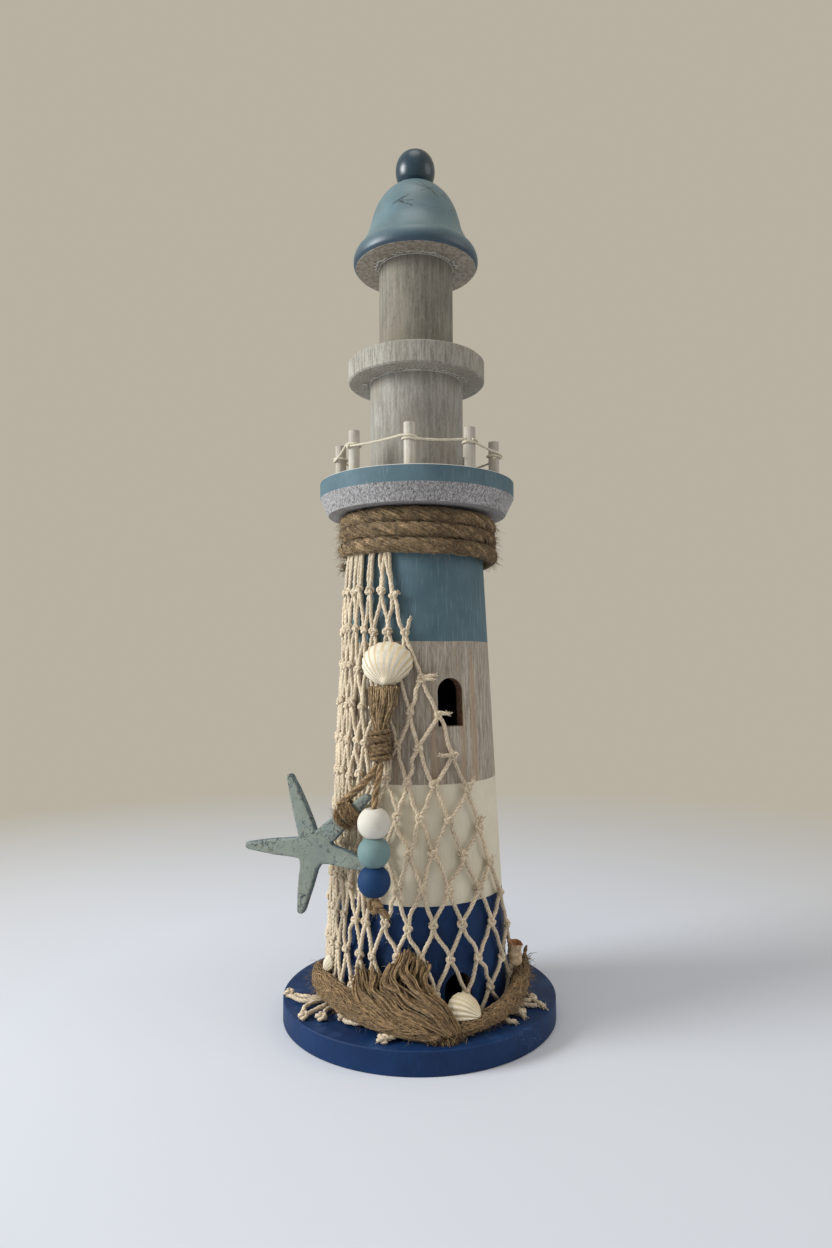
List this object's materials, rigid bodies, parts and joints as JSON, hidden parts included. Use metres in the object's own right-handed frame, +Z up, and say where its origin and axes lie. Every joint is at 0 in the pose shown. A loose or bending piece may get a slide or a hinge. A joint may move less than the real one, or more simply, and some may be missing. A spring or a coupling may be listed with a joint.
{
  "type": "nautical decorative lighthouse",
  "caption": "Free-standing wooden lighthouse decoration with railed gallery, domed roof, rope collar, draped fish net, hanging starfish and beads, and shells round the foot.",
  "frame": {"origin": "centre of the base plate's underside, on the surface it stands on", "axes": "+Z up along the tower's axis; the door and the window face -Y"},
  "size_m": [0.1689, 0.15, 0.492],
  "materials": {
    "navy_wood": "matt navy paint on wood",
    "banded_wood": "matt paint in four bands on turned wood: navy, cream, grey wash and teal from the foot up",
    "deck_wood": "matt teal paint on the edge, white wash below, lightly scratched",
    "whitewashed_wood": "white wash over grey grain",
    "roof_wood": "light teal paint, scratched",
    "finial_wood": "satin teal paint",
    "jute": "natural jute rope and twine",
    "cotton": "natural cotton cord",
    "shell_cream": "ribbed natural sea shell, matt",
    "shell_brown": "natural sea shell, brown inside",
    "star_wood": "grey-blue distressed paint",
    "bead_white_paint": "matt white paint",
    "bead_aqua_paint": "matt aqua paint",
    "bead_navy_paint": "matt navy paint"
  },
  "bodies": {
    "root": {"base_plate": "navy_wood", "finial": "finial_wood", "front_shell": "shell_cream", "gallery_deck": "deck_wood", "garland_fan": "jute", "garland_left": "jute", "garland_right": "jute", "jute_tassel": "jute", "lower_drum": "whitewashed_wood", "net": "cotton", "net_shell": "shell_cream", "net_tails": "cotton", "rail_post_1": "whitewashed_wood", "rail_post_2": "whitewashed_wood", "rail_post_3": "whitewashed_wood", "rail_post_4": "whitewashed_wood", "rail_post_5": "whitewashed_wood", "rail_post_6": "whitewashed_wood", "rail_post_7": "whitewashed_wood", "rail_post_8": "whitewashed_wood", "rail_string": "cotton", "rear_shell": "shell_cream", "roof_dome": "roof_wood", "rope_collar": "jute", "tassel_whipping": "jute", "tower_shell": "banded_wood", "upper_drum": "whitewashed_wood", "upper_ring": "whitewashed_wood", "whelk_shell": "shell_brown"},
    "star_pendant": {"star_twine": "jute", "starfish": "star_wood", "star_wrap": "jute"},
    "bead_string": {"bead_twine": "jute"},
    "bead_white": {"bead_white": "bead_white_paint"},
    "bead_aqua": {"bead_aqua": "bead_aqua_paint"},
    "bead_navy": {"bead_navy": "bead_navy_paint"}
  },
  "joints": [
    {"name": "star_swing", "type": "hinge", "parent": "root", "child": "star_pendant", "pos_m": [-0.03882, -0.0343, 0.14035], "axis": [0.7071, 0.7071, 0], "range_deg": [0, 25]},
    {"name": "bead_swing", "type": "hinge", "parent": "root", "child": "bead_string", "pos_m": [-0.0384, -0.0384, 0.14063], "axis": [-0.7071, -0.7071, 0], "range_deg": [-3, 25]},
    {"name": "bead_white_spin", "type": "hinge", "parent": "bead_string", "child": "bead_white", "pos_m": [-0.04455, -0.04455, 0.1143], "axis": [0, 0, 1], "continuous": true},
    {"name": "bead_aqua_spin", "type": "hinge", "parent": "bead_string", "child": "bead_aqua", "pos_m": [-0.04455, -0.04455, 0.1002], "axis": [0, 0, 1], "continuous": true},
    {"name": "bead_navy_spin", "type": "hinge", "parent": "bead_string", "child": "bead_navy", "pos_m": [-0.04455, -0.04455, 0.0861], "axis": [0, 0, 1], "continuous": true}
  ]
}
